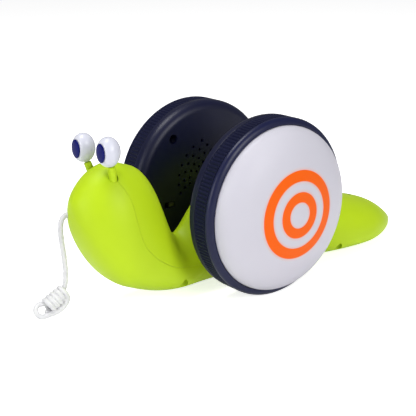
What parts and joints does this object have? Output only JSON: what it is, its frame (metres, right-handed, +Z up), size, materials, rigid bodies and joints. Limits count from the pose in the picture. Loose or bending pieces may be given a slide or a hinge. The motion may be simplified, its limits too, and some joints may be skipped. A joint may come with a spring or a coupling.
{
  "type": "pull-along snail toy",
  "caption": "Pull-along snail toy: hollow body with a round head, wobbling eyes on stalks, large light-up domed wheels on a cross axle, a hidden tail roller and a pull cord.",
  "frame": {"origin": "on the floor under the middle of the body box", "axes": "+Z up, -X ahead where the head looks and the cord leaves, -Y the toy's left side"},
  "size_m": [0.3668, 0.16, 0.14],
  "materials": {
    "green_shell": "satin, fine texture, soft touch",
    "navy_shell": "satin",
    "navy_tread": "matt, fine cross ribs",
    "milky_lens": "milky translucent satin with two printed orange rings",
    "eye_white": "polished",
    "iris_blue": "polished",
    "steel": "plated",
    "black_plastic": "moulded",
    "white_plastic": "moulded",
    "board": "lacquered",
    "clear_led": "clear",
    "cell_sleeve": "sleeved metal can",
    "cord": "braided cotton"
  },
  "bodies": {
    "body": {"lower_shell": "green_shell", "back_cover": "green_shell", "axle": "steel", "eye_pin": "steel", "roller_pin": "steel", "tail_top_screw": "steel", "cord_knot": "cord", "pull_cord": "cord", "cord_hank": "cord", "left_axle_bush": "white_plastic", "left_axle_clip": "steel", "left_belly_screw": "steel", "left_tail_screw": "steel", "right_axle_bush": "white_plastic", "right_axle_clip": "steel", "right_belly_screw": "steel", "right_tail_screw": "steel"},
    "left_wheel": {"left_housing": "navy_shell", "left_battery_door": "navy_shell", "left_bezel": "navy_shell", "left_tread": "navy_tread", "left_lens": "milky_lens", "left_circuit_board": "board", "left_led_a": "clear_led", "left_led_b": "clear_led", "left_cell_a": "cell_sleeve", "left_cell_b": "cell_sleeve", "left_cell_holder": "black_plastic", "left_speaker": "black_plastic", "left_door_screw": "steel", "left_wheel_screw_a": "steel", "left_wheel_screw_b": "steel", "left_wheel_screw_c": "steel"},
    "right_wheel": {"right_housing": "navy_shell", "right_battery_door": "navy_shell", "right_bezel": "navy_shell", "right_tread": "navy_tread", "right_lens": "milky_lens", "right_circuit_board": "board", "right_led_a": "clear_led", "right_led_b": "clear_led", "right_cell_a": "cell_sleeve", "right_cell_b": "cell_sleeve", "right_cell_holder": "black_plastic", "right_speaker": "black_plastic", "right_door_screw": "steel", "right_wheel_screw_a": "steel", "right_wheel_screw_b": "steel", "right_wheel_screw_c": "steel"},
    "left_switch": {"left_switch": "black_plastic"},
    "right_switch": {"right_switch": "black_plastic"},
    "left_eye": {"left_eyeball": "eye_white", "left_iris": "iris_blue", "left_eye_stalk": "green_shell"},
    "right_eye": {"right_eyeball": "eye_white", "right_iris": "iris_blue", "right_eye_stalk": "green_shell"},
    "tail_roller": {"tail_roller": "black_plastic"}
  },
  "joints": [
    {"name": "left_wheel_spin", "type": "hinge", "parent": "body", "child": "left_wheel", "pos_m": [-0.02365, -0.04, 0.07], "axis": [0, 1, 0], "continuous": true},
    {"name": "left_switch_slide", "type": "slide", "parent": "left_wheel", "child": "left_switch", "axis": [1, 0, 0], "range_m": [0, 0.004]},
    {"name": "left_eye_wobble", "type": "hinge", "parent": "body", "child": "left_eye", "pos_m": [-0.14265, -0.0122, 0.097], "axis": [0, 1, 0], "range_deg": [0, 3], "stiffness_Nm_per_rad": 0.3, "springref_deg": -1.72},
    {"name": "right_wheel_spin", "type": "hinge", "parent": "body", "child": "right_wheel", "pos_m": [-0.02365, 0.04, 0.07], "axis": [0, 1, 0], "continuous": true},
    {"name": "right_switch_slide", "type": "slide", "parent": "right_wheel", "child": "right_switch", "axis": [-1, 0, 0], "range_m": [0, 0.004]},
    {"name": "right_eye_wobble", "type": "hinge", "parent": "body", "child": "right_eye", "pos_m": [-0.14265, 0.0122, 0.097], "axis": [0, 1, 0], "range_deg": [0, 3], "stiffness_Nm_per_rad": 0.3, "springref_deg": -1.72},
    {"name": "tail_roller_spin", "type": "hinge", "parent": "body", "child": "tail_roller", "pos_m": [0.09635, 0, 0.009], "axis": [0, 1, 0], "continuous": true}
  ]
}
